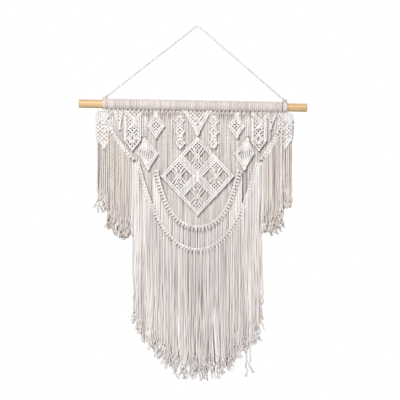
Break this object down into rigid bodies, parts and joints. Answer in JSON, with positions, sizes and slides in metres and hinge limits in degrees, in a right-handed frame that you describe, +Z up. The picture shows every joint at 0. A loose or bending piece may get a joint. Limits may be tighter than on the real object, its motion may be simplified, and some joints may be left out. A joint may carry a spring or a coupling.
{
  "type": "macrame wall hanging",
  "caption": "Knotted cotton cord panel with swags and long fringes on a wooden dowel, hung by a V of cord.",
  "frame": {"origin": "top of the nail or hook that the hanger cord lies over, where the wall holds the hanging up", "axes": "+Z up, -Y out of the front of the hanging, +X to its right as seen from the front"},
  "size_m": [0.6002, 0.0306, 0.9261],
  "materials": {
    "cotton_cord": "natural off-white twisted cotton, matt",
    "dowel_wood": "bare light wood, smooth"
  },
  "bodies": {
    "hanger": {"hanger_cord": "cotton_cord", "hanger_knot_left": "cotton_cord", "hanger_knot_right": "cotton_cord"},
    "dowel": {"dowel": "dowel_wood"},
    "panel": {"back_cords_centre": "cotton_cord", "back_cords_left": "cotton_cord", "back_cords_right": "cotton_cord", "centre_net": "cotton_cord", "diamond_bottom": "cotton_cord", "diamond_filling_bottom": "cotton_cord", "diamond_filling_left": "cotton_cord", "diamond_filling_right": "cotton_cord", "diamond_filling_top": "cotton_cord", "diamond_left": "cotton_cord", "diamond_right": "cotton_cord", "diamond_stem_left": "cotton_cord", "diamond_stem_right": "cotton_cord", "diamond_top": "cotton_cord", "inner_fringe_top": "cotton_cord", "inner_swag": "cotton_cord", "knot_chain_left": "cotton_cord", "knot_chain_right": "cotton_cord", "larks_heads_centre": "cotton_cord", "larks_heads_diamond_left": "cotton_cord", "larks_heads_diamond_right": "cotton_cord", "larks_heads_net_left": "cotton_cord", "larks_heads_net_right": "cotton_cord", "larks_heads_outer_left": "cotton_cord", "larks_heads_outer_right": "cotton_cord", "leaf_bundle_left": "cotton_cord", "leaf_bundle_right": "cotton_cord", "leaf_diamond_left": "cotton_cord", "leaf_diamond_right": "cotton_cord", "net_column_left": "cotton_cord", "net_column_right": "cotton_cord", "outer_fringe_top_left": "cotton_cord", "outer_fringe_top_right": "cotton_cord", "outer_net_left": "cotton_cord", "outer_net_right": "cotton_cord", "outer_swag": "cotton_cord", "side_cords_left": "cotton_cord", "side_cords_right": "cotton_cord", "side_fringe_top_left": "cotton_cord", "side_fringe_top_right": "cotton_cord", "side_swag_left": "cotton_cord", "side_swag_right": "cotton_cord", "small_diamond_left": "cotton_cord", "small_diamond_right": "cotton_cord", "triangle_net_left": "cotton_cord", "triangle_net_right": "cotton_cord"},
    "left_fringe": {"side_fringe_long_left": "cotton_cord", "side_fringe_short_left": "cotton_cord"},
    "right_fringe": {"side_fringe_long_right": "cotton_cord", "side_fringe_short_right": "cotton_cord"},
    "lower_fringe": {"outer_fringe_left": "cotton_cord", "outer_fringe_centre": "cotton_cord", "outer_fringe_right": "cotton_cord", "inner_fringe": "cotton_cord", "back_fringe": "cotton_cord"}
  },
  "joints": [
    {"name": "dowel_roll", "type": "hinge", "parent": "hanger", "child": "dowel", "pos_m": [-0.012, 0, -0.2067], "axis": [0.9998, 0, -0.018], "continuous": true},
    {"name": "panel_swing", "type": "hinge", "parent": "hanger", "child": "panel", "pos_m": [-0.012, 0, -0.2067], "axis": [0.9998, 0, -0.018], "range_deg": [-90, 30]},
    {"name": "left_fringe_swing", "type": "hinge", "parent": "panel", "child": "left_fringe", "pos_m": [0, -0.002, -0.38172], "axis": [1, 0, 0], "range_deg": [-60, 30]},
    {"name": "right_fringe_swing", "type": "hinge", "parent": "panel", "child": "right_fringe", "pos_m": [0, -0.002, -0.38172], "axis": [1, 0, 0], "range_deg": [-60, 30]},
    {"name": "lower_fringe_swing", "type": "hinge", "parent": "panel", "child": "lower_fringe", "pos_m": [0, -0.0025, -0.61192], "axis": [1, 0, 0], "range_deg": [-60, 30]}
  ]
}
